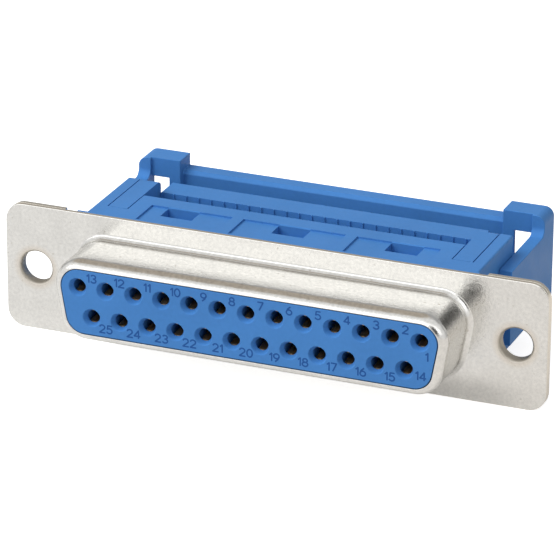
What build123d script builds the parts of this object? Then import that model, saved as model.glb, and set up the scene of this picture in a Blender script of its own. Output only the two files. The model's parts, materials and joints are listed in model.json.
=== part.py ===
from build123d import *
import os
from math import cos, radians, sin, tan

# A 25 way D-sub socket connector that is pressed onto a flat ribbon cable.
# X runs along the connector, -Y is the mating side and +Z is the side of the longer row.
# The origin is the centre of the flange, on its front face. All sizes are millimetres.

# Contacts: two staggered rows at the mating face, one straight row of forks at the cable
contact_count = 25
contact_pitch = 2.76
row_spacing = 2.84
wire_pitch = 1.27
strip_width = 0.8
strip_thickness = 0.3
beam_thickness = 0.2
beam_height = 1.5
beam_mouth = 1.1
beam_grip = 0.8
beam_grip_depth = 0.75
beam_back = 0.6
jog_start = 1.3
jog_end = 3.4
fork_width = 0.86
fork_slot = 0.28
fork_slot_length = 3.2
fork_point = 0.5
fork_reach = 1.65

# Drawn metal shell and its flange
sheet = 0.4
hole_spacing = 47.04
flange_end = 3.0
flange_height = 12.3
flange_corner = 1.75
hole_diameter = 3.1
hole_mouth = 0.26
nose_side_margin = 2.29
nose_height = 7.9
nose_depth = 6.0
nose_slant = 10
nose_corner = 2.6
nose_front_radius = 1.1
nose_root_slope = 0.35
nose_lip = 0.78

# Rear plates behind the flange ends, held by the rolled mounting holes
rear_plate_thickness = 0.45
rear_plate_gap = 0.1
roll_width = 0.45
roll_height = 0.3

# Front insulator
fit = 0.05
face_recess = 0.06
face_gap = 0.08
insulator_plate = 0.7
insulator_height = 11.9
insulator_overhang = 0.44
pin_hole = 1.2
pin_mouth = 1.78
pin_mouth_depth = 0.55
pin_hole_sides = 16

# Rear body with its wire block and end posts
body_height = 11.1
body_depth = 6.65
body_edge = 0.2
channel_height = 0.7
channel_side = 0.75
channel_back = 3.6
wire_block_height = 7.0
wire_block_rise = 2.8
wire_block_margin = 0.66
wire_rib = 0.12
wire_cell_depth = 0.12
post_reach = 3.75
post_wall = 1.2
slot_wall = 2.9
pocket_depth = 0.18
pocket_front = 1.9
pocket_back = 5.85
pocket_rib = 1.1
pocket_middle_width = 10.1
pocket_side_width = 8.1
window_width = 3.15
window_length = 1.9
window_depth = 1.3
window_bevel = 0.1
window_offset = 0.85
catch_groove_depth = 0.5
catch_groove_height = 4.0

# Cable cover, shown closed on an empty wire gap
ribbon_gap = 1.1
cover_depth = 3.0
cover_height = 8.86
cover_edge = 0.15
leg_gap = 0.05
leg_thickness = 2.0
leg_overhang = 0.3
leg_corner = 0.5
web_height = 6.2
web_depth = 1.9
web_bite = 0.5
fork_room = 0.2

# Strain relief strap, shown open
cable_gap = 3.25
strap_travel = 1.2
bar_depth = 1.8
bar_height = 8.8
bar_chamfer = 0.32
strap_block_height = 11.2
strap_block_inset = 0.7
strap_block_corner = 0.9
strap_block_step = 0.35
strap_column = 1.15
strap_column_root = 0.8
strap_plate = 0.4
strap_wall = 0.45
strap_window_height = 7.4
arm_gap = 0.05
arm_thickness = 1.25
arm_height = 7.36
arm_front_gap = 0.15
arm_shoulder = 0.3
arm_shoulder_radius = 0.8
catch_depth = 0.4
catch_length = 1.0
catch_height = 3.6
catch_play = 0.1

# Places along Y, from the mating face to the back
shell_front = -nose_depth
face_front = shell_front + face_recess
cavity_front = face_front + pin_mouth_depth
beam_front = cavity_front + fit
insulator_back = sheet + insulator_plate
body_back = insulator_back + body_depth
slot_front = insulator_back + slot_wall
wire_block_back = body_back + wire_block_rise
post_back = body_back + post_reach
cover_front = wire_block_back + ribbon_gap
cover_back = cover_front + cover_depth
leg_front = slot_front + leg_gap
leg_back = post_back + leg_overhang
web_back = cover_front + web_depth
fork_tip = wire_block_back + fork_reach
bar_front = cover_back + cable_gap
strap_block_front = bar_front - strap_block_inset
arm_rise = strap_block_front - arm_shoulder
strap_plate_back = strap_block_front + strap_plate
strap_back = bar_front + bar_depth
arm_front = body_back - arm_front_gap

# Places along X, from the middle outwards
row_half = (contact_count - 1) / 4 * contact_pitch
nose_half_width = row_half + nose_side_margin
wire_half = (contact_count - 1) / 2 * wire_pitch
wire_block_half = wire_half + wire_block_margin
leg_inner = wire_block_half + leg_gap
leg_outer = leg_inner + leg_thickness
post_inner = leg_outer + leg_gap
body_half = post_inner + post_wall
arm_inner = body_half + arm_gap
arm_outer = arm_inner + arm_thickness
strap_block_inner = leg_inner + strap_block_step
strap_window_inner = strap_block_inner + strap_column
rear_plate_inner = arm_outer + rear_plate_gap
flange_half = hole_spacing / 2 + flange_end


def block(x0, x1, y0, y1, z0, z1):
    """Square block between two corners."""
    return Pos((x0 + x1) / 2, (y0 + y1) / 2, (z0 + z1) / 2) * Box(x1 - x0, y1 - y0, z1 - z0)


def slab(outline, front, back):
    """Solid between two planes across Y, from an outline drawn in X and Z."""
    return extrude(Plane.XZ.offset(-front) * outline, amount=back - front, dir=(0, 1, 0))


def side_prism(points, x0, x1):
    """Solid between two planes across X, from corners given as Y and Z."""
    corners = [(x0, y, z) for y, z in points]
    return extrude(make_face(Polyline(*corners, close=True)), amount=x1 - x0, dir=(1, 0, 0))


def flat_prism(points, z0, z1):
    """Solid between two levels, from corners given as X and Y."""
    corners = [(x, y, z0) for x, y in points]
    return extrude(make_face(Polyline(*corners, close=True)), amount=z1 - z0, dir=(0, 0, 1))


def turned(profile):
    """Solid turned about the Y axis, from corners given as radius and Y."""
    return revolve(make_face(Polyline(*profile, close=True)), Axis.Y)


def both_ends(shape):
    """The shape and its mirror image at the other end of the connector."""
    return shape + mirror(shape, Plane.YZ)


def d_outline(inset):
    """D-shaped outline with its wide side up, inset from the outside of the shell nose."""
    half_height = nose_height / 2 - inset
    middle = nose_half_width - inset / cos(radians(nose_slant))
    lean = half_height * tan(radians(nose_slant))
    corners = [
        (middle + lean, half_height),
        (-middle - lean, half_height),
        (-middle + lean, -half_height),
        (middle - lean, -half_height),
    ]
    face = make_face(Polyline(*corners, close=True))
    return fillet(face.vertices(), nose_corner - inset)


def contact_places():
    """Number, socket X, socket Z and fork X of each contact, from one end to the other."""
    places = []
    for step in range(contact_count):
        upper = step % 2 == 0
        number = step // 2 + (1 if upper else (contact_count + 3) // 2)
        socket_x = row_half - step * contact_pitch / 2
        socket_z = row_spacing / 2 if upper else -row_spacing / 2
        places.append((number, socket_x, socket_z, wire_half - step * wire_pitch))
    return places


def mounting_roll():
    """Rolled end of one mounting hole, which clamps the rear plate to the flange."""
    bore = hole_diameter / 2
    wall = bore + sheet
    plate_back = sheet + rear_plate_thickness
    return turned([
        (0, 0),
        (wall, 0),
        (wall, plate_back),
        (wall + roll_width, plate_back),
        (bore, plate_back + roll_height),
        (0, plate_back + roll_height),
    ])


def mounting_hole():
    """Round hole through the flange and the roll behind it, with its flared mouth."""
    bore = hole_diameter / 2
    back = sheet + rear_plate_thickness + roll_height
    return turned([(0, 0), (bore + hole_mouth, 0), (bore, hole_mouth), (bore, back), (0, back)])


def front_shell():
    """Flange and hollow D-shaped nose, drawn from one sheet, with its two mounting holes."""
    flange = slab(RectangleRounded(2 * flange_half, flange_height, flange_corner), 0, sheet)
    nose = slab(d_outline(0), shell_front, sheet)
    nose = fillet(nose.faces().sort_by(Axis.Y)[0].edges(), nose_front_radius)
    shell = flange + nose
    face = [f for f in shell.faces() if abs(f.center().Y) < 1e-6 and f.inner_wires()][0]
    shell = chamfer(face.inner_wires()[0].edges(), nose_root_slope)
    hollow = slab(d_outline(sheet), shell_front + sheet, sheet)
    hollow = chamfer(hollow.faces().sort_by(Axis.Y)[0].edges(), nose_lip - sheet)
    shell = shell - hollow - slab(d_outline(nose_lip), shell_front, sheet)
    places = [Pos(x, 0, 0) for x in (-hole_spacing / 2, hole_spacing / 2)]
    for place in places:
        shell = shell + place * mounting_roll()
    return shell - [place * mounting_hole() for place in places]


def rear_plate():
    """Metal plate behind the right end of the flange, open to the mounting hole."""
    back = sheet + rear_plate_thickness
    plate = slab(RectangleRounded(2 * flange_half, flange_height, flange_corner), sheet, back)
    plate = plate & block(rear_plate_inner, flange_half, sheet, back, -flange_height, flange_height)
    hole = Cylinder(hole_diameter / 2 + sheet + fit, rear_plate_thickness)
    return plate - Pos(hole_spacing / 2, (sheet + back) / 2, 0) * Rot(90, 0, 0) * hole


def flared_mouth():
    """Funnel that guides one pin, made of flat facets between two rings of corners."""
    turns = [radians(360 / pin_hole_sides * n) for n in range(pin_hole_sides)]
    rings = []
    for diameter, y in ((pin_mouth, face_front), (pin_hole, cavity_front)):
        rings.append([(diameter / 2 * cos(turn), y, diameter / 2 * sin(turn)) for turn in turns])
    front, back = rings
    outlines = rings + [
        (front[n - 1], front[n], back[n], back[n - 1]) for n in range(pin_hole_sides)
    ]
    return Solid(Shell([make_face(Polyline(*corners, close=True)).face() for corners in outlines]))


def socket_cavity():
    """Hole for one contact: the flared mouth, then the cavity that holds the pair of beams."""
    half_width = pin_hole / 2 + fit
    half_height = beam_height / 2 + fit
    cavity = block(-half_width, half_width, cavity_front, insulator_back, -half_height, half_height)
    return cavity + flared_mouth()


def front_insulator():
    """D-shaped block of sockets that fills the nose, with the plate behind the flange."""
    half = body_half + insulator_overhang
    plate = slab(Rectangle(2 * half, insulator_height), sheet, insulator_back)
    nose_front = shell_front + nose_front_radius
    nose = slab(d_outline(sheet + fit), nose_front, sheet)
    face = slab(d_outline(nose_lip + face_gap), face_front, nose_front)
    cavity = socket_cavity()
    return plate + nose + face - [Pos(x, 0, z) * cavity for number, x, z, fork_x in contact_places()]


def wire_cells(face, outward, height):
    """Row of flat cells along Z, one for each wire, between thin ribs on a face across Y."""
    half = (wire_pitch - wire_rib) / 2
    front, back = sorted((face, face - outward * wire_cell_depth))
    cells = []
    for number, x, z, fork_x in contact_places():
        cells.append(block(fork_x - half, fork_x + half, front, back, -height / 2, height / 2))
    return cells


def body_recesses():
    """Shallow pockets and the deeper windows in them, on the top and the bottom."""
    side_shift = pocket_middle_width / 2 + pocket_rib + pocket_side_width / 2
    window_shift = side_shift + window_offset
    cuts = []
    top = body_height / 2
    for side in (1, -1):
        for x, width in ((-side_shift, pocket_side_width), (0, pocket_middle_width),
                         (side_shift, pocket_side_width)):
            low, high = sorted((side * top, side * (top - pocket_depth)))
            cuts.append(block(x - width / 2, x + width / 2, pocket_front, pocket_back, low, high))
        for x in (-window_shift, 0, window_shift):
            low, high = sorted((side * top, side * (top - window_depth)))
            front = pocket_back - window_length
            x0, x1 = x - window_width / 2, x + window_width / 2
            cuts.append(block(x0, x1, front, pocket_back, low, high))
            bevel = [
                (pocket_back, side * top),
                (pocket_back + window_bevel, side * top),
                (pocket_back, side * (top - window_bevel)),
            ]
            cuts.append(side_prism(bevel, x0, x1))
    return cuts


def rear_body():
    """Moulded body behind the flange, with posts at its ends and the grooved wire block."""
    outline = RectangleRounded(2 * body_half, body_height, body_edge)
    body = slab(outline, insulator_back, post_back)
    body = body - block(-post_inner, post_inner, body_back, post_back, -body_height, body_height)
    top = wire_block_height / 2
    body = body + block(-wire_block_half, wire_block_half, body_back, wire_block_back, -top, top)
    slot = block(wire_block_half, post_inner, slot_front, body_back, -body_height, body_height)
    catch = catch_groove_height / 2
    catch_front = arm_front - strap_travel - catch_play
    catch_back = arm_front + catch_length + catch_play
    catch_x = body_half - catch_groove_depth
    slot = slot + block(catch_x, body_half, catch_front, catch_back, -catch, catch)
    cuts = [both_ends(slot)] + body_recesses()
    for side in (1, -1):
        z = side * row_spacing / 2
        half = row_half + channel_side
        low, high = z - channel_height / 2, z + channel_height / 2
        cuts.append(block(-half, half, insulator_back, channel_back, low, high))
    for number, x, z, fork_x in contact_places():
        half = fork_width / 2 + fit
        low, high = z - strip_thickness / 2 - fit, z + strip_thickness / 2 + fit
        cuts.append(block(fork_x - half, fork_x + half, channel_back, wire_block_back, low, high))
    return body - cuts - wire_cells(wire_block_back, 1, wire_block_height)


def contact(socket_x, socket_z, fork_x):
    """One stamped contact: the pair of beams that grips a pin, the strip and the wire fork."""
    half, tine, gap = strip_width / 2, fork_width / 2, fork_slot / 2
    root = fork_tip - fork_slot_length
    start = beam_back - beam_thickness / 2
    grip_y = beam_front + beam_grip_depth
    upper_beam = [
        (beam_back, beam_height / 2),
        (grip_y, beam_grip / 2 + beam_thickness),
        (beam_front, beam_mouth / 2 + beam_thickness),
        (beam_front, beam_mouth / 2),
        (grip_y, beam_grip / 2),
        (beam_back - beam_thickness, beam_height / 2 - beam_thickness),
    ]
    beams = side_prism(upper_beam + [(y, -z) for y, z in reversed(upper_beam)], -half, half)
    blank = [
        (socket_x + half, start),
        (socket_x + half, jog_start),
        (fork_x + tine, jog_end),
        (fork_x + tine, fork_tip - fork_point),
        (fork_x + (tine + gap) / 2, fork_tip),
        (fork_x + gap, fork_tip - fork_point),
        (fork_x + gap, root),
        (fork_x - gap, root),
        (fork_x - gap, fork_tip - fork_point),
        (fork_x - (tine + gap) / 2, fork_tip),
        (fork_x - tine, fork_tip - fork_point),
        (fork_x - tine, jog_end),
        (socket_x - half, jog_start),
        (socket_x - half, start),
    ]
    level = socket_z - strip_thickness / 2
    return Pos(socket_x, 0, socket_z) * beams + flat_prism(blank, level, level + strip_thickness)


def cover_leg():
    """Guide leg at the right end of the cover, with the web that joins it to the bar."""
    top = body_height / 2
    leg = block(leg_inner, leg_outer, leg_front, leg_back, -top, top)
    back_edges = leg.faces().sort_by(Axis.Y)[-1].edges().filter_by(Axis.X)
    leg = fillet(back_edges, leg_corner)
    web = web_height / 2
    web_front = cover_front + wire_cell_depth
    leg = leg + block(leg_inner, leg_outer, leg_back - leg_corner - web_bite, web_back, -web, web)
    return leg + block(wire_block_half - web_bite, leg_inner + web_bite, web_front, web_back, -web, web)


def cable_cover():
    """Cover that presses the ribbon onto the forks, with its two guide legs."""
    top = cover_height / 2
    bar = block(-wire_block_half, wire_block_half, cover_front, cover_back, -top, top)
    back_edges = bar.faces().sort_by(Axis.Y)[-1].edges().filter_by(Axis.X)
    cover = chamfer(back_edges, cover_edge) + both_ends(cover_leg())
    half = fork_width / 2 + fit
    pockets = []
    for number, x, z, fork_x in contact_places():
        low, high = z - strip_thickness / 2 - fit, z + strip_thickness / 2 + fit
        pockets.append(block(fork_x - half, fork_x + half, cover_front, fork_tip + fork_room, low, high))
    return cover - wire_cells(cover_front, -1, cover_height) - pockets


def strap_end():
    """Right end of the strap: an open-backed frame with a window, the side arm and its catch."""
    top = strap_block_height / 2
    arm = arm_height / 2
    half_profile = [
        (arm_front, arm),
        (arm_rise - arm_shoulder_radius, arm),
        (arm_rise, arm + arm_shoulder_radius),
        (arm_rise, top),
        (strap_back, top),
    ]
    profile = half_profile + [(y, -z) for y, z in reversed(half_profile)]
    side = side_prism(profile, arm_inner, arm_outer)
    for z in (arm + arm_shoulder_radius, -arm - arm_shoulder_radius):
        cutter = Cylinder(arm_shoulder_radius, arm_thickness)
        place = Pos((arm_inner + arm_outer) / 2, arm_rise - arm_shoulder_radius, z)
        side = side - place * Rot(0, 90, 0) * cutter
    end = side + block(strap_block_inner, arm_outer, strap_block_front, strap_back, -top, top)
    wide = 2 * arm_outer
    rounded = slab(RectangleRounded(wide, strap_block_height, strap_block_corner), arm_front, strap_back)
    end = end & rounded
    window = strap_window_height / 2
    hollow = [
        (strap_block_inner + strap_column_root, strap_plate_back),
        (arm_outer - strap_wall, strap_plate_back),
        (arm_outer - strap_wall, strap_back),
        (strap_block_inner, strap_back),
    ]
    opening = block(strap_window_inner, arm_inner, strap_block_front, strap_plate_back, -window, window)
    end = end - flat_prism(hollow, -window, window) - opening
    inner_x = arm_inner - catch_depth
    catch = [
        (arm_inner, arm_front),
        (inner_x, arm_front + catch_length / 2),
        (inner_x, arm_front + catch_length),
        (arm_inner, arm_front + catch_length),
    ]
    return end + flat_prism(catch, -catch_height / 2, catch_height / 2)


def strain_relief():
    """Strap behind the cover: a bar between two framed ends, whose arms clip to the body."""
    top = bar_height / 2
    half_profile = [
        (bar_front, top - bar_chamfer),
        (bar_front + bar_chamfer, top),
        (strap_back, top),
    ]
    profile = half_profile + [(y, -z) for y, z in reversed(half_profile)]
    bar = side_prism(profile, -strap_block_inner, strap_block_inner)
    return bar + both_ends(strap_end())


def write(shape, name):
    export_step(shape, f"parts/{name}.step")


os.makedirs("parts", exist_ok=True)
write(front_shell(), "front_shell")
write(rear_plate(), "rear_plate_right")
write(mirror(rear_plate(), Plane.YZ), "rear_plate_left")
write(front_insulator(), "front_insulator")
write(rear_body(), "rear_body")
write(cable_cover(), "cable_cover")
write(strain_relief(), "strain_relief")
for number, socket_x, socket_z, fork_x in contact_places():
    write(contact(socket_x, socket_z, fork_x), f"contact_{number:02d}")
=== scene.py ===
import json
from math import atan2, cos, radians, sin

import bmesh
import bpy
from bpy.props import FloatProperty, FloatVectorProperty, PointerProperty
from mathutils import Matrix, Vector


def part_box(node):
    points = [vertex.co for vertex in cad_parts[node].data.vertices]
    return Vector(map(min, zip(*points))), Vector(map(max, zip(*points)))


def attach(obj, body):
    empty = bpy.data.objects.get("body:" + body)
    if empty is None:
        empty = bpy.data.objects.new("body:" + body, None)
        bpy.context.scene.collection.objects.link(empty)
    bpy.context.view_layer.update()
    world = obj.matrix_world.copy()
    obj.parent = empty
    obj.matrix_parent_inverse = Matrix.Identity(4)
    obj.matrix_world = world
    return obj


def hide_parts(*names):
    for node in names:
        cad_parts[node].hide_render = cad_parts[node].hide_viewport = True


bl_info = {
    "name": "Ribbon Cable Connector",
    "version": (1, 0, 0),
    "blender": (4, 5, 0),
    "location": "3D View > Sidebar > Connector",
    "description": "Finishes a 25 way D-sub socket for ribbon cable: plated shell, blue mouldings, contacts",
    "category": "Object",
}

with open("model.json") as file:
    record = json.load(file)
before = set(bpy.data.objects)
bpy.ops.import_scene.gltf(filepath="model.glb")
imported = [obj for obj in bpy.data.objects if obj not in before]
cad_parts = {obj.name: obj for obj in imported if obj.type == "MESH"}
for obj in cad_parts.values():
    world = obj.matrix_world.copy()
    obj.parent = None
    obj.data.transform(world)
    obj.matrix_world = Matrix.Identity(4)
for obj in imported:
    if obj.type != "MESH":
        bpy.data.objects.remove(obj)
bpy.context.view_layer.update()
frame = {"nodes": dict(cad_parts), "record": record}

METAL_NODES = ("front_shell", "rear_plate_left", "rear_plate_right")
CONTACT_NODES = tuple(sorted(name for name in frame["nodes"] if name.startswith("contact_")))
BODY_OF = {
    node: body
    for body, nodes in frame["record"]["behaviour"]["bodies"].items()
    for node in nodes
}

# Sizes of the connector that the finishes and numbers follow, in metres
HOLE_SPACING = 0.04704
HOLE_RADIUS = 0.00155
FLANGE_CORNER = 0.00175
LEG_INNER = 0.01595
LEG_END = 0.0114
PIN_PITCH = 0.00276
ROW_SPACING = 0.00284
TOP_ROW_COUNT = 13
PIN_COUNT = 25

# Bands of tone on the sheet metal, the bore and halo ones painted shade: where each starts and ends
CUT_BAND = (-0.00014, -0.00005)
CUT_DEPTH = (0.00001, 0.00006)
BORE_BAND = (HOLE_RADIUS + 0.00005, HOLE_RADIUS + 0.0003)
HALO_BAND = (HOLE_RADIUS + 0.0002, HOLE_RADIUS + 0.0009)
# Colour of the painted shade ring round the mouths of the mounting holes
HALO_SHADE_COLOUR = (0.62, 0.54, 0.44, 1)

# Middle range of a noise, which the finishes stretch to their own values
MIDDLE = (0.3, 0.7)

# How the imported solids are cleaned, and where the root of the nose and its angle are found
SAME_POINT = 1e-7
SAME_SIDE = 1e-6
FLAT_ANGLE = radians(0.4)
ROOT_DEPTH = (-0.0005, 0.0001)
ROOT_ANGLE = (radians(30), radians(60))

# Sky: share of the way forwards or back at which its parts fade, and its dark and white
SKY_AHEAD = (-0.55, -0.15)
SKY_BEHIND = (0.0, 0.45)
DARK_LENS = (0.02, 0.02, 0.02, 1)
WHITE_SKY = (1.05, 1.05, 1.05, 1)


# Shading nodes

class Wiring:
    """Short way to add and join the nodes of one material."""

    def __init__(self, tree):
        self.tree = tree

    def add(self, kind, **settings):
        """New node of one kind, with its settings."""
        node = self.tree.nodes.new(kind)
        for name, value in settings.items():
            setattr(node, name, value)
        return node

    def feed(self, socket, value):
        """Links the socket to another one or gives it a constant."""
        if isinstance(value, bpy.types.NodeSocket):
            self.tree.links.new(value, socket)
        else:
            socket.default_value = value

    def set(self, node, **values):
        """Feeds the named inputs of a node, with _ for each space in a name."""
        for name, value in values.items():
            self.feed(node.inputs[name.replace("_", " ")], value)
        return node

    def noise(self, size, detail=2.0, stretch=(1, 1, 1), turn=(0, 0, 0)):
        """Noise over the object's own coordinates, whose cells measure about size metres."""
        place = self.add("ShaderNodeTexCoord")
        mapping = self.add("ShaderNodeMapping")
        self.tree.links.new(place.outputs["Object"], mapping.inputs["Vector"])
        mapping.inputs["Rotation"].default_value = turn
        mapping.inputs["Scale"].default_value = stretch
        texture = self.add("ShaderNodeTexNoise")
        self.set(texture, Vector=mapping.outputs["Vector"], Scale=1 / size, Detail=detail)
        return texture.outputs["Fac"]

    def span(self, value, low, high, new_low, new_high, kind="LINEAR"):
        """Maps a value from one range to another and clamps it."""
        node = self.add("ShaderNodeMapRange", interpolation_type=kind)
        self.set(node, Value=value, From_Min=low, From_Max=high, To_Min=new_low, To_Max=new_high)
        return node.outputs["Result"]

    def combine(self, operation, first, second):
        """Result of one sum on two values."""
        node = self.add("ShaderNodeMath", operation=operation)
        for socket, value in zip(node.inputs, (first, second)):
            self.feed(socket, value)
        return node.outputs[0]

    def vector(self, operation, first, second=None):
        """Result of one sum on whole vectors, or the single value that it gives."""
        node = self.add("ShaderNodeVectorMath", operation=operation)
        self.feed(node.inputs[0], first)
        if second is not None:
            self.feed(node.inputs[1], second)
        return node.outputs["Value" if operation in ("LENGTH", "DOT_PRODUCT") else "Vector"]

    def parts(self, vector):
        """The X, Y and Z of a vector."""
        return self.set(self.add("ShaderNodeSeparateXYZ"), Vector=vector).outputs

    def blend_colours(self, factor, first, second):
        """The first colour where the factor is 0, the second where it is 1."""
        node = self.add("ShaderNodeMix", data_type="RGBA")
        for socket, value in ((node.inputs[0], factor), (node.inputs[6], first), (node.inputs[7], second)):
            self.feed(socket, value)
        return node.outputs[2]

    def bump(self, height, depth, strength=1.0, normal=None):
        """Bump whose highest point stands depth metres above the lowest."""
        node = self.add("ShaderNodeBump")
        self.set(node, Height=height, Distance=depth, Strength=strength)
        if normal is not None:
            self.tree.links.new(normal, node.inputs["Normal"])
        return node.outputs["Normal"]


def new_material(name):
    """Empty material with its wiring and its surface shader."""
    material = bpy.data.materials.new(name)
    material.use_nodes = True
    wiring = Wiring(material.node_tree)
    return material, wiring, material.node_tree.nodes["Principled BSDF"]


def shade(colour, factor):
    """The colour made lighter or darker, as a value for a colour socket."""
    return tuple(min(1.0, channel * factor) for channel in colour[:3]) + (1.0,)


def moulded_plastic(name, colour, roughness):
    """Matt moulded plastic with a fine grain, faint flow marks and an uneven sheen."""
    material, wiring, surface = new_material(name)
    flow = wiring.noise(0.006, 3.0, stretch=(1, 0.4, 1))
    speck = wiring.noise(0.0004, 2.0)
    tone = wiring.combine(
        "ADD", wiring.span(flow, *MIDDLE, 0.0, 0.7), wiring.span(speck, 0.35, 0.65, 0.0, 0.3))
    wiring.set(surface, Base_Color=wiring.blend_colours(tone, shade(colour, 0.93), shade(colour, 1.06)))
    sheen = wiring.noise(0.0025, 3.0)
    wiring.set(surface, Roughness=wiring.span(sheen, *MIDDLE, roughness - 0.06, roughness + 0.06))
    soft = wiring.bump(wiring.noise(0.003, 1.0), 0.00002)
    wiring.set(surface, Normal=wiring.bump(wiring.noise(0.00012, 3.0), 0.000006, normal=soft))
    surface.inputs["Specular IOR Level"].default_value = 0.13
    return material


def rim_distance(wiring, place, half_width, half_height, corner):
    """Distance outwards from the flange's rounded outline, negative inside it."""
    folded = wiring.vector("ABSOLUTE", place)
    reach = wiring.vector("SUBTRACT", folded, (half_width - corner, 0, half_height - corner))
    flat = wiring.vector("MULTIPLY", reach, (1, 0, 1))
    outside = wiring.vector("LENGTH", wiring.vector("MAXIMUM", flat, (0, 0, 0)))
    parts = wiring.parts(flat)
    inside = wiring.combine("MINIMUM", wiring.combine("MAXIMUM", parts["X"], parts["Z"]), 0.0)
    return wiring.combine("SUBTRACT", wiring.combine("ADD", outside, inside), corner)


def hole_distance(wiring, place):
    """Distance along the flange from the middle of the nearer mounting hole."""
    folded = wiring.vector("ABSOLUTE", place)
    offset = wiring.vector("SUBTRACT", folded, (HOLE_SPACING / 2, 0, 0))
    return wiring.vector("LENGTH", wiring.vector("MULTIPLY", offset, (1, 0, 1)))


def plated_nickel(name, colour, roughness, edge_colour):
    """Satin nickel over drawn steel: cloudy, finely rubbed, darker where the sheet was cut, with painted
    shade in and round the mounting holes.
    """
    material, wiring, surface = new_material(name)
    surface.inputs["Metallic"].default_value = 1.0
    place = wiring.add("ShaderNodeTexCoord").outputs["Object"]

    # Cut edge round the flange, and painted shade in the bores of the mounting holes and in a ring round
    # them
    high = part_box("front_shell")[1]
    rim = rim_distance(wiring, place, high.x, high.z, FLANGE_CORNER)
    cut = wiring.combine(
        "MULTIPLY", wiring.span(rim, *CUT_BAND, 0.0, 1.0, "SMOOTHSTEP"),
        wiring.span(wiring.parts(place)["Y"], *CUT_DEPTH, 0.0, 1.0))
    from_hole = hole_distance(wiring, place)
    bore = wiring.span(from_hole, *BORE_BAND, 1.0, 0.0, "SMOOTHSTEP")
    halo_shade = wiring.span(from_hole, *HALO_BAND, 1.0, 0.0, "SMOOTHSTEP")

    # Colour: clouds, grain and a few dark specks
    cloud = wiring.noise(0.0022, 4.0)
    grain = wiring.noise(0.0003, 4.0)
    speck = wiring.noise(0.00045, 1.0)
    tone = wiring.combine(
        "ADD", wiring.span(cloud, *MIDDLE, 0.0, 0.35), wiring.span(grain, *MIDDLE, 0.0, 0.65))
    plain = wiring.blend_colours(tone, shade(colour, 0.85), shade(colour, 1.08))
    plain = wiring.blend_colours(wiring.span(speck, 0.70, 0.78, 0.0, 0.5), plain, shade(edge_colour, 0.6))
    # Painted shade: a darker tan ring round each mounting hole's mouth
    hole_shaded = wiring.blend_colours(wiring.combine("MULTIPLY", halo_shade, 0.45), plain, HALO_SHADE_COLOUR)
    # Painted shade: the bores of the mounting holes in the cut edge colour, made darker still
    hole_shaded = wiring.blend_colours(bore, hole_shaded, shade(edge_colour, 0.65))
    wiring.set(surface, Base_Color=wiring.blend_colours(cut, hole_shaded, shade(edge_colour, 1.0)))

    # Gloss: crossing rub marks, and dull bores
    rub = wiring.noise(0.0006, 3.0, stretch=(0.08, 1, 1), turn=(0, 0.3, 0))
    cross_rub = wiring.noise(0.0005, 3.0, stretch=(1, 1, 0.1), turn=(0, -0.5, 0))
    marks = wiring.combine("MULTIPLY", rub, cross_rub)
    haze = wiring.combine(
        "ADD", wiring.span(marks, 0.15, 0.4, -0.02, 0.04), wiring.span(cloud, *MIDDLE, -0.02, 0.02))
    satin = wiring.combine("ADD", haze, roughness)
    wiring.set(surface, Roughness=wiring.combine("ADD", satin, wiring.combine("MULTIPLY", bore, 0.4)))
    soft = wiring.bump(cloud, 0.000004)
    wiring.set(surface, Normal=wiring.bump(grain, 0.000012, normal=soft))
    return material


def gold_flash(name, colour, roughness):
    """Thin gold over a copper alloy strip, with the faint lines that stamping leaves."""
    material, wiring, surface = new_material(name)
    surface.inputs["Metallic"].default_value = 1.0
    lines = wiring.noise(0.0002, 2.0, stretch=(1, 0.1, 1))
    tone = wiring.span(lines, *MIDDLE, 0.0, 1.0)
    wiring.set(surface, Base_Color=wiring.blend_colours(tone, shade(colour, 0.85), shade(colour, 1.05)))
    wiring.set(surface, Roughness=wiring.span(lines, *MIDDLE, roughness - 0.05, roughness + 0.08))
    wiring.set(surface, Normal=wiring.bump(lines, 0.000002))
    return material


# Mesh work

def root_edges(work):
    """The two loops of edges round the root of the nose, on the front of the flange."""
    loops = []
    for edge in work.edges:
        near = all(ROOT_DEPTH[0] < vertex.co.y < ROOT_DEPTH[1] for vertex in edge.verts)
        if near and not edge.is_convex and ROOT_ANGLE[0] < edge.calc_face_angle() < ROOT_ANGLE[1]:
            loops.append(edge)
    return loops


def narrow_legs(work, seam):
    """Moves the long sides of the cover's legs inwards, so that the seams round them show."""
    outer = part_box("cable_cover")[1].x
    for vertex in work.verts:
        side = 1 if vertex.co.x > 0 else -1
        reach = abs(vertex.co.x)
        if vertex.co.y < LEG_END and abs(reach - outer) < SAME_SIDE:
            vertex.co.x -= side * seam
        elif vertex.co.y < LEG_END and abs(reach - LEG_INNER) < SAME_SIDE:
            vertex.co.x += side * seam


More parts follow.
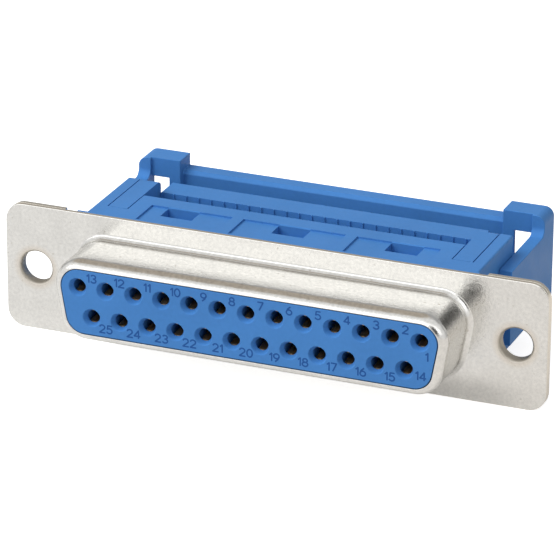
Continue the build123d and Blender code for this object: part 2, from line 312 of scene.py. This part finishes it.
def rounded_copy(node, material, radius, sharp_angle, segments=2, bend=0.0, seam=0.0):
    """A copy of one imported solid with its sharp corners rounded, which stands for that solid.

    Where bend is set, the hollow corner where the nose leaves the flange first gets that width.
    Where seam is set, the legs of the cover get narrower by that much on each side.
    """
    work = bmesh.new()
    work.from_mesh(frame["nodes"][node].data)
    bmesh.ops.remove_doubles(work, verts=work.verts, dist=SAME_POINT)
    bmesh.ops.dissolve_limit(work, angle_limit=FLAT_ANGLE, verts=work.verts, edges=work.edges)
    bmesh.ops.recalc_face_normals(work, faces=work.faces)
    if seam:
        narrow_legs(work, seam)
    if bend:
        bmesh.ops.bevel(
            work, geom=root_edges(work), offset=bend, offset_type="OFFSET", segments=4, profile=0.5,
            affect="EDGES", clamp_overlap=False)
    for face in work.faces:
        face.smooth = True
    for edge in work.edges:
        edge.smooth = len(edge.link_faces) == 2 and edge.calc_face_angle() < sharp_angle
    mesh = bpy.data.meshes.new(node + "_finished")
    work.to_mesh(mesh)
    work.free()
    if "custom_normal" in mesh.attributes:
        mesh.attributes.remove(mesh.attributes["custom_normal"])
    piece = bpy.data.objects.new(node + "_finished", mesh)
    bpy.context.scene.collection.objects.link(piece)
    rounding = piece.modifiers.new("rounding", "BEVEL")
    rounding.width = radius
    rounding.segments = segments
    rounding.limit_method = "ANGLE"
    rounding.angle_limit = sharp_angle
    rounding.use_clamp_overlap = True
    shading = piece.modifiers.new("shading", "WEIGHTED_NORMAL")
    shading.keep_sharp = True
    bpy.context.view_layer.update()
    finished = bpy.data.meshes.new_from_object(piece.evaluated_get(bpy.context.evaluated_depsgraph_get()))
    piece.modifiers.clear()
    piece.data = finished
    finished.materials.clear()
    finished.materials.append(material)
    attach(piece, BODY_OF[node])
    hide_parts(node)
    return piece


def paint_node(node, material):
    """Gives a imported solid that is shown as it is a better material."""
    for slot in frame["nodes"][node].material_slots:
        slot.material = material


# Settings that a user would change

class ConnectorFinishes(bpy.types.PropertyGroup):
    plastic_colour: FloatVectorProperty(
        name="Plastic Colour", description="Colour of the blue mouldings",
        subtype="COLOR", size=3, min=0, max=1, default=(0.064, 0.222, 0.553))
    plastic_roughness: FloatProperty(
        name="Plastic Roughness", description="How matt the mouldings are",
        subtype="FACTOR", min=0.1, max=0.9, default=0.42)
    # The numbers' darker blue is painted shade, standing in for the shade of their moulded relief
    number_colour: FloatVectorProperty(
        name="Number Colour", description="Colour of the contact numbers on the face",
        subtype="COLOR", size=3, min=0, max=1, default=(0.021, 0.092, 0.31))
    nickel_colour: FloatVectorProperty(
        name="Nickel Colour", description="Colour of the plated shell",
        subtype="COLOR", size=3, min=0, max=1, default=(0.742, 0.733, 0.708))
    edge_colour: FloatVectorProperty(
        name="Cut Edge Colour", description="Colour of the sheet's cut edges",
        subtype="COLOR", size=3, min=0, max=1, default=(0.74, 0.69, 0.60))
    nickel_roughness: FloatProperty(
        name="Nickel Roughness", description="How satin the plating is",
        subtype="FACTOR", min=0.1, max=0.9, default=0.2)
    gold_colour: FloatVectorProperty(
        name="Contact Colour", description="Colour of the gold on the contacts",
        subtype="COLOR", size=3, min=0, max=1, default=(0.70, 0.50, 0.28))
    gold_roughness: FloatProperty(
        name="Contact Roughness", description="How dull the contacts are",
        subtype="FACTOR", min=0.1, max=0.9, default=0.4)


class ConnectorEdges(bpy.types.PropertyGroup):
    plastic_edge: FloatProperty(
        name="Moulded Edge", description="Rounding of the mouldings' outer edges",
        unit="LENGTH", min=0, max=0.0005, default=0.00005, precision=5)
    face_edge: FloatProperty(
        name="Face Edge", description="Rounding of the edges of the pin holes and the face",
        unit="LENGTH", min=0, max=0.0005, default=0.00005, precision=5)
    strap_edge: FloatProperty(
        name="Strap Edge", description="Rounding of the strap's outer edges",
        unit="LENGTH", min=0, max=0.0005, default=0.00005, precision=5)
    leg_seam: FloatProperty(
        name="Leg Seam", description="How much wider the seams beside the cover's legs are drawn",
        unit="LENGTH", min=0, max=0.0002, default=0.00006, precision=5)
    nose_root: FloatProperty(
        name="Nose Root", description="How far the bend at the root of the nose reaches past its slope",
        unit="LENGTH", min=0, max=0.0005, default=0.00015, precision=5)
    sheet_edge: FloatProperty(
        name="Sheet Edge", description="Rounding of the sheet metal's edges",
        unit="LENGTH", min=0, max=0.0005, default=0.00009, precision=5)
    plastic_crease: FloatProperty(
        name="Moulded Crease", description="Mouldings keep a crease where two faces meet at more than this",
        subtype="ANGLE", default=radians(30))
    metal_crease: FloatProperty(
        name="Sheet Crease", description="The sheet keeps a crease where two faces meet at more than this",
        subtype="ANGLE", default=radians(50))


class ConnectorNumbers(bpy.types.PropertyGroup):
    height: FloatProperty(
        name="Height", description="Height of the contact numbers",
        unit="LENGTH", min=0.0002, max=0.002, default=0.00075, precision=5)
    width: FloatProperty(
        name="Width", description="Width of a digit whose shape is as wide as it is high",
        unit="LENGTH", min=0.0002, max=0.002, default=0.00082, precision=5)
    stroke: FloatProperty(
        name="Stroke", description="Width of the numbers' strokes",
        unit="LENGTH", min=0.00002, max=0.0004, default=0.00014, precision=5)
    relief: FloatProperty(
        name="Relief", description="How far the numbers stand out of the face",
        unit="LENGTH", min=0, max=0.0001, default=0.00001, precision=5)
    side_step: FloatProperty(
        name="Side Step", description="Distance from a hole to the middle of its number",
        unit="LENGTH", min=0, max=0.002, default=0.0014, precision=5)
    first_top_place: FloatVectorProperty(
        name="First Upper Place", description="X and Z from the first upper hole to its number",
        unit="LENGTH", size=2, default=(0.0007, -0.00127), precision=5)
    first_bottom_place: FloatVectorProperty(
        name="First Lower Place", description="X and Z from the first lower hole to its number",
        unit="LENGTH", size=2, default=(0.00155, -0.00035), precision=5)
    top_step: FloatProperty(
        name="Top Step", description="How far the upper numbers stand above their holes",
        unit="LENGTH", min=0, max=0.002, default=0.00103, precision=5)
    bottom_step: FloatProperty(
        name="Bottom Step", description="How far the lower numbers stand below their holes",
        unit="LENGTH", min=0, max=0.002, default=0.00088, precision=5)


class StudioSettings(bpy.types.PropertyGroup):
    azimuth: FloatProperty(
        name="Azimuth", description="Angle of the camera round the connector",
        subtype="ANGLE", default=radians(21.719))
    elevation: FloatProperty(
        name="Elevation", description="Angle of the camera above the floor",
        subtype="ANGLE", default=radians(22.543))
    roll: FloatProperty(
        name="Roll", description="Turn of the camera about its own axis",
        subtype="ANGLE", default=radians(0.369))
    distance: FloatProperty(
        name="Distance", description="Distance from the camera to the connector",
        unit="LENGTH", min=0.05, max=5, default=0.3596)
    shift_right: FloatProperty(
        name="Step Right", description="How far the camera stands to its right",
        unit="LENGTH", default=0.00086, precision=5)
    shift_up: FloatProperty(
        name="Step Up", description="How far the camera stands above its aim",
        unit="LENGTH", default=0.002306, precision=5)
    lens: FloatProperty(
        name="Lens", description="Focal length in millimetres",
        unit="CAMERA", min=10, max=500, default=254.04)
    key_power: FloatProperty(
        name="Key Light", description="Power of the large soft light above",
        unit="POWER", min=0, default=6.5)
    key_size: FloatProperty(
        name="Key Light Size", description="Width of the soft light above",
        unit="LENGTH", min=0.01, max=5, default=0.7)
    key_place: FloatVectorProperty(
        name="Key Light Place", description="Where the soft light hangs",
        unit="LENGTH", size=3, default=(-0.5, -0.3, 0.7))
    sky_strength: FloatProperty(
        name="Sky Strength", description="Strength of the even light from all around",
        min=0, max=3, default=0.63)
    back_strength: FloatProperty(
        name="Back Strength", description="Strength of the sky behind the connector",
        min=0, max=3, default=0.3)
    front_strength: FloatProperty(
        name="Front Strength", description="Strength of the broad light in front",
        min=0, max=3, default=1.42)
    front_low: FloatVectorProperty(
        name="Front Low", description="Height at which the broad light starts and is full, as a share",
        size=2, default=(0.18, 0.38))
    front_high: FloatVectorProperty(
        name="Front High", description="Height at which the broad light fades and ends, as a share",
        size=2, default=(0.42, 0.85))
    ceiling_direction: FloatVectorProperty(
        name="Ceiling Direction", description="Where the dark part of the ceiling is",
        size=3, default=(-0.342, 0.227, 0.912))
    ceiling_width: FloatVectorProperty(
        name="Ceiling Width", description="Half width of the dark ceiling without and with its soft edge",
        unit="ROTATION", size=2, default=(radians(20), radians(34)))
    ceiling_colour: FloatVectorProperty(
        name="Ceiling Colour", description="Colour of the dark part of the ceiling",
        subtype="COLOR", size=3, min=0, max=1, default=(0.33, 0.295, 0.25))
    camera_direction: FloatVectorProperty(
        name="Camera Direction", description="Where the camera shows as a dark patch in the metal",
        size=3, default=(0.40, -0.86, 0.30))
    camera_shade: FloatVectorProperty(
        name="Camera Shade", description="Half width of the dark patch without and with its soft edge",
        unit="ROTATION", size=2, default=(radians(12), radians(20)))
    floor_left: FloatVectorProperty(
        name="Left Floor", description="Colour of the floor on the left",
        subtype="COLOR", size=3, min=0, max=1, default=(0.675, 0.67, 0.66))
    floor_right: FloatVectorProperty(
        name="Right Floor", description="Colour of the floor on the right, where less light falls",
        subtype="COLOR", size=3, min=0, max=1, default=(0.655, 0.625, 0.59))
    floor_blend: FloatVectorProperty(
        name="Floor Blend", description="X where the left colour starts to change and X where it has",
        unit="LENGTH", size=2, default=(-0.02, 0.035))
    floor_glow: FloatProperty(
        name="Floor Glow", description="How much whiter the floor looks to the camera than it is lit",
        min=0, max=2, default=0.8)
    mirrored_glow: FloatProperty(
        name="Mirrored Glow", description="How much whiter the floor looks in the metal than it is lit",
        min=0, max=2, default=0.27)
    mirrored_strength: FloatProperty(
        name="Mirrored Strength", description="How much stronger the sky looks in the metal than it is",
        min=0, max=3, default=1.48)
    floor_size: FloatProperty(
        name="Floor Size", description="Width of the floor",
        unit="LENGTH", min=0.5, max=10, default=6.0)


# Pieces

class CONNECTOR_OT_plated_shell(bpy.types.Operator):
    """Finish the drawn shell and the two plates behind its ends in satin nickel"""
    bl_idname = "connector.plated_shell"
    bl_label = "Plated Shell"

    def execute(self, context):
        finishes, edges = context.scene.connector_finishes, context.scene.connector_edges
        nickel = plated_nickel(
            "satin_nickel", finishes.nickel_colour, finishes.nickel_roughness, finishes.edge_colour)
        for node in METAL_NODES:
            bend = edges.nose_root if node == "front_shell" else 0.0
            rounded_copy(node, nickel, edges.sheet_edge, edges.metal_crease, segments=3, bend=bend)
        return {"FINISHED"}


class CONNECTOR_OT_mouldings(bpy.types.Operator):
    """Finish the insulator, the rear body, the cable cover and the strap in blue plastic"""
    bl_idname = "connector.mouldings"
    bl_label = "Mouldings"

    def execute(self, context):
        finishes, edges = context.scene.connector_finishes, context.scene.connector_edges
        plastic = moulded_plastic("blue_moulding", finishes.plastic_colour, finishes.plastic_roughness)
        widths = {
            "front_insulator": edges.face_edge,
            "rear_body": edges.plastic_edge,
            "cable_cover": edges.plastic_edge,
            "strain_relief": edges.strap_edge,
        }
        for node, width in widths.items():
            seam = edges.leg_seam if node == "cable_cover" else 0.0
            rounded_copy(node, plastic, width, edges.plastic_crease, seam=seam)
        return {"FINISHED"}


class CONNECTOR_OT_contacts(bpy.types.Operator):
    """Finish the stamped contacts in gold"""
    bl_idname = "connector.contacts"
    bl_label = "Contacts"

    def execute(self, context):
        finishes = context.scene.connector_finishes
        gold = gold_flash("contact_gold_flash", finishes.gold_colour, finishes.gold_roughness)
        for node in CONTACT_NODES:
            paint_node(node, gold)
        return {"FINISHED"}


def number_places(settings):
    """Number, X and Z of the middle of each contact number on the face."""
    upper_step = (settings.side_step, settings.top_step)
    lower_step = (settings.side_step, -settings.bottom_step)
    places = []
    for number in range(1, PIN_COUNT + 1):
        upper = number <= TOP_ROW_COUNT
        column = number - 1 if upper else number - TOP_ROW_COUNT - 0.5
        hole_x = ((TOP_ROW_COUNT - 1) / 2 - column) * PIN_PITCH
        hole_z = ROW_SPACING / 2 if upper else -ROW_SPACING / 2
        step = upper_step if upper else lower_step
        if number == 1:
            step = settings.first_top_place
        elif number == TOP_ROW_COUNT + 1:
            step = settings.first_bottom_place
        places.append((number, hole_x + step[0], hole_z + step[1]))
    return places


def arc(x, y, width, height, start, end):
    """Points along part of an ellipse, from one angle to another in degrees."""
    steps = max(4, round(abs(end - start) / 30))
    turns = [radians(start + (end - start) * n / steps) for n in range(steps + 1)]
    return [(x + width * cos(turn), y + height * sin(turn)) for turn in turns]


# Strokes of each digit, one unit high, and the width of the digit
DIGITS = {
    "0": (0.64, [arc(0.32, 0.5, 0.32, 0.5, 0, 360)]),
    "1": (0.26, [[(0.0, 0.76), (0.24, 1.0), (0.24, 0.0)]]),
    "2": (0.66, [arc(0.32, 0.71, 0.31, 0.29, 165, -30) + [(0.0, 0.0), (0.66, 0.0)]]),
    "3": (0.62, [arc(0.3, 0.76, 0.28, 0.24, 150, -90), arc(0.3, 0.26, 0.32, 0.26, 90, -150)]),
    "4": (0.68, [[(0.5, 0.0), (0.5, 1.0), (0.0, 0.27), (0.68, 0.27)]]),
    "5": (0.62, [[(0.58, 1.0), (0.12, 1.0), (0.06, 0.54)] + arc(0.29, 0.32, 0.33, 0.32, 115, -150)]),
    "6": (0.64, [arc(0.32, 0.31, 0.32, 0.31, 0, 360), [(0.03, 0.4), (0.16, 0.72), (0.44, 1.0)]]),
    "7": (0.62, [[(0.0, 1.0), (0.62, 1.0), (0.2, 0.0)]]),
    "8": (0.64, [arc(0.32, 0.76, 0.26, 0.24, 0, 360), arc(0.32, 0.27, 0.32, 0.27, 0, 360)]),
    "9": (0.64, [arc(0.32, 0.69, 0.32, 0.31, 0, 360), [(0.61, 0.6), (0.48, 0.28), (0.2, 0.0)]]),
}
DIGIT_GAP = 0.22


def draw_number(work, number, x, face_y, z, settings):
    """Adds one number, centred on a place of the face, as raised straight strokes.

    Each stroke stands a little higher than the one before, so that no two share a surface.
    """
    digits = [DIGITS[digit] for digit in str(number)]
    left = -(sum(width for width, strokes in digits) + DIGIT_GAP * (len(digits) - 1)) / 2
    runs = []
    for width, strokes in digits:
        for stroke in strokes:
            places = [
                Vector((x + (left + across) * settings.width, 0, z + (up - 0.5) * settings.height))
                for across, up in stroke
            ]
            runs += zip(places, places[1:])
        left += width + DIGIT_GAP
    for step, (start, end) in enumerate(runs, 1):
        run = end - start
        middle = (start + end) / 2
        middle.y = face_y + settings.relief * (0.5 - step / len(runs))
        turn = Matrix.Rotation(-atan2(run.z, run.x), 4, "Y")
        size = Matrix.Diagonal((run.length + settings.stroke * 0.5, settings.relief, settings.stroke, 1))
        bmesh.ops.create_cube(work, size=1, matrix=Matrix.Translation(middle) @ turn @ size)


class CONNECTOR_OT_numbers(bpy.types.Operator):
    """Put the contact numbers on the face of the insulator"""
    bl_idname = "connector.numbers"
    bl_label = "Contact Numbers"

    def execute(self, context):
        settings = context.scene.connector_numbers
        finishes = context.scene.connector_finishes
        face_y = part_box("front_insulator")[0].y
        work = bmesh.new()
        for number, x, z in number_places(settings):
            draw_number(work, number, x, face_y, z, settings)
        joined = bpy.data.meshes.new("contact_numbers")
        work.to_mesh(joined)
        work.free()
        piece = bpy.data.objects.new("contact_numbers", joined)
        context.scene.collection.objects.link(piece)
        # Darker blue material for the numbers: painted shade for their moulded relief
        joined.materials.append(
            moulded_plastic("number_blue", finishes.number_colour, finishes.plastic_roughness))
        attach(piece, BODY_OF["front_insulator"])
        return {"FINISHED"}


def camera_axes(settings):
    """Camera directions: to its right, up and back, with the roll included."""
    azimuth, elevation, roll = settings.azimuth, settings.elevation, settings.roll
    back = Vector((sin(azimuth) * cos(elevation), -cos(azimuth) * cos(elevation), sin(elevation)))
    level = Vector((cos(azimuth), sin(azimuth), 0))
    upright = back.cross(level)
    right = level * cos(roll) + upright * sin(roll)
    up = upright * cos(roll) - level * sin(roll)
    return right, up, back


def ray_kinds(wiring):
    """One for what the camera sees, also through glass, and one for what the metal mirrors."""
    path = wiring.add("ShaderNodeLightPath").outputs
    seen = wiring.combine("MAXIMUM", path["Is Camera Ray"], path["Is Transmission Ray"])
    return seen, path["Is Glossy Ray"]


class CONNECTOR_OT_studio(bpy.types.Operator):
    """Set up the pale floor, the soft sky and light, and the camera"""
    bl_idname = "connector.studio"
    bl_label = "Studio"

    def execute(self, context):
        settings = context.scene.connector_studio
        self.floor(context, settings)
        self.sky(context, settings)
        self.key_light(context, settings)
        self.camera(context, settings)
        context.scene.view_settings.view_transform = "Standard"
        return {"FINISHED"}

    def floor(self, context, settings):
        half = settings.floor_size / 2
        level = min(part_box(name)[0].z for name in frame["nodes"])
        mesh = bpy.data.meshes.new("studio_floor")
        corners = [(-half, -half, level), (half, -half, level), (half, half, level), (-half, half, level)]
        mesh.from_pydata(corners, [], [(0, 1, 2, 3)])
        piece = bpy.data.objects.new("studio_floor", mesh)
        context.scene.collection.objects.link(piece)
        material, wiring, surface = new_material("pale_floor")
        place = wiring.add("ShaderNodeTexCoord").outputs["Object"]
        across = wiring.span(wiring.parts(place)["X"], *settings.floor_blend, 0.0, 1.0, "SMOOTHSTEP")
        left, right = shade(settings.floor_left, 1.0), shade(settings.floor_right, 1.0)
        wiring.set(surface, Base_Color=wiring.blend_colours(across, left, right))
        surface.inputs["Roughness"].default_value = 0.9
        surface.inputs["Specular IOR Level"].default_value = 0.0
        surface.inputs["Emission Color"].default_value = (1, 1, 1, 1)
        seen, mirrored = ray_kinds(wiring)
        wiring.set(surface, Emission_Strength=wiring.combine(
            "MAXIMUM", wiring.combine("MULTIPLY", seen, settings.floor_glow),
            wiring.combine("MULTIPLY", mirrored, settings.mirrored_glow)))
        mesh.materials.append(material)

    def sky(self, context, settings):
        """White to the camera; to the object a broad light in front and a dark ceiling."""
        world = bpy.data.worlds.new("soft_sky")
        world.use_nodes = True
        context.scene.world = world
        wiring = Wiring(world.node_tree)
        background = world.node_tree.nodes["Background"]
        direction = wiring.add("ShaderNodeTexCoord").outputs["Generated"]
        parts = wiring.parts(direction)
        rise = wiring.span(parts["Z"], *settings.front_low, 0.0, 1.0, "SMOOTHSTEP")
        fall = wiring.span(parts["Z"], *settings.front_high, 1.0, 0.0, "SMOOTHSTEP")
        ahead = wiring.span(parts["Y"], *SKY_AHEAD, 1.0, 0.0, "SMOOTHSTEP")
        front = wiring.combine("MULTIPLY", wiring.combine("MULTIPLY", rise, fall), ahead)
        behind = wiring.span(parts["Y"], *SKY_BEHIND, 0.0, 1.0, "SMOOTHSTEP")
        ceiling = self.patch(wiring, direction, settings.ceiling_direction, settings.ceiling_width)
        camera = self.patch(wiring, direction, settings.camera_direction, settings.camera_shade)
        grey = shade((1, 1, 1), settings.sky_strength)
        light = (settings.front_strength,) * 3 + (1.0,)
        studio = wiring.blend_colours(behind, grey, shade((1, 1, 1), settings.back_strength))
        studio = wiring.blend_colours(front, studio, light)
        studio = wiring.blend_colours(ceiling, studio, shade(settings.ceiling_colour, 1.0))
        studio = wiring.blend_colours(camera, studio, DARK_LENS)
        seen, mirrored = ray_kinds(wiring)
        strength = wiring.span(mirrored, 0.0, 1.0, 1.0, settings.mirrored_strength)
        wiring.set(background, Color=wiring.blend_colours(seen, studio, WHITE_SKY), Strength=strength)

    def patch(self, wiring, direction, centre, widths):
        """One where the sky's direction is near the centre, zero far from it, soft between."""
        nearness = wiring.vector("DOT_PRODUCT", direction, Vector(centre).normalized())
        return wiring.span(nearness, cos(widths[1]), cos(widths[0]), 0.0, 1.0, "SMOOTHSTEP")

    def key_light(self, context, settings):
        """Large soft light above, which faces the connector and isn't mirrored in the metal."""
        lamp = bpy.data.lights.new("key_light", "AREA")
        lamp.energy = settings.key_power
        lamp.size = settings.key_size
        holder = bpy.data.objects.new("key_light", lamp)
        place = Vector(settings.key_place)
        holder.location = place
        holder.rotation_euler = (-place).to_track_quat("-Z", "Y").to_euler()
        holder.visible_glossy = False
        context.scene.collection.objects.link(holder)

    def camera(self, context, settings):
        right, up, back = camera_axes(settings)
        place = back * settings.distance + right * settings.shift_right + up * settings.shift_up
        lens = bpy.data.cameras.new("studio_camera")
        lens.lens = settings.lens
        lens.sensor_width = 36
        lens.clip_start = 0.01
        lens.clip_end = 20
        holder = bpy.data.objects.new("studio_camera", lens)
        holder.matrix_world = Matrix((
            (right.x, up.x, back.x, place.x),
            (right.y, up.y, back.y, place.y),
            (right.z, up.z, back.z, place.z),
            (0, 0, 0, 1),
        ))
        context.scene.collection.objects.link(holder)
        context.scene.camera = holder


STEPS = (
    CONNECTOR_OT_plated_shell,
    CONNECTOR_OT_mouldings,
    CONNECTOR_OT_contacts,
    CONNECTOR_OT_numbers,
    CONNECTOR_OT_studio,
)


class CONNECTOR_PT_panel(bpy.types.Panel):
    """Sidebar panel with the settings and one button for each step"""
    bl_idname = "CONNECTOR_PT_panel"
    bl_label = "Connector"
    bl_space_type = "VIEW_3D"
    bl_region_type = "UI"
    bl_category = "Connector"

    def draw(self, context):
        scene = context.scene
        for settings in (scene.connector_finishes, scene.connector_edges,
                         scene.connector_numbers, scene.connector_studio):
            box = self.layout.box()
            for name in settings.bl_rna.properties.keys():
                if name not in ("rna_type", "name"):
                    box.prop(settings, name)
        for step in STEPS:
            self.layout.operator(step.bl_idname)


SETTINGS = {
    "connector_finishes": ConnectorFinishes,
    "connector_edges": ConnectorEdges,
    "connector_numbers": ConnectorNumbers,
    "connector_studio": StudioSettings,
}


def register():
    for group in SETTINGS.values():
        bpy.utils.register_class(group)
    for step in STEPS:
        bpy.utils.register_class(step)
    bpy.utils.register_class(CONNECTOR_PT_panel)
    for name, group in SETTINGS.items():
        setattr(bpy.types.Scene, name, PointerProperty(type=group))


def unregister():
    for name in SETTINGS:
        delattr(bpy.types.Scene, name)
    bpy.utils.unregister_class(CONNECTOR_PT_panel)
    for step in reversed(STEPS):
        bpy.utils.unregister_class(step)
    for group in SETTINGS.values():
        bpy.utils.unregister_class(group)


def main():
    register()
    for step in (bpy.ops.connector.plated_shell, bpy.ops.connector.mouldings, bpy.ops.connector.contacts,
                 bpy.ops.connector.numbers, bpy.ops.connector.studio):
        step()


if __name__ == "__main__":
    main()
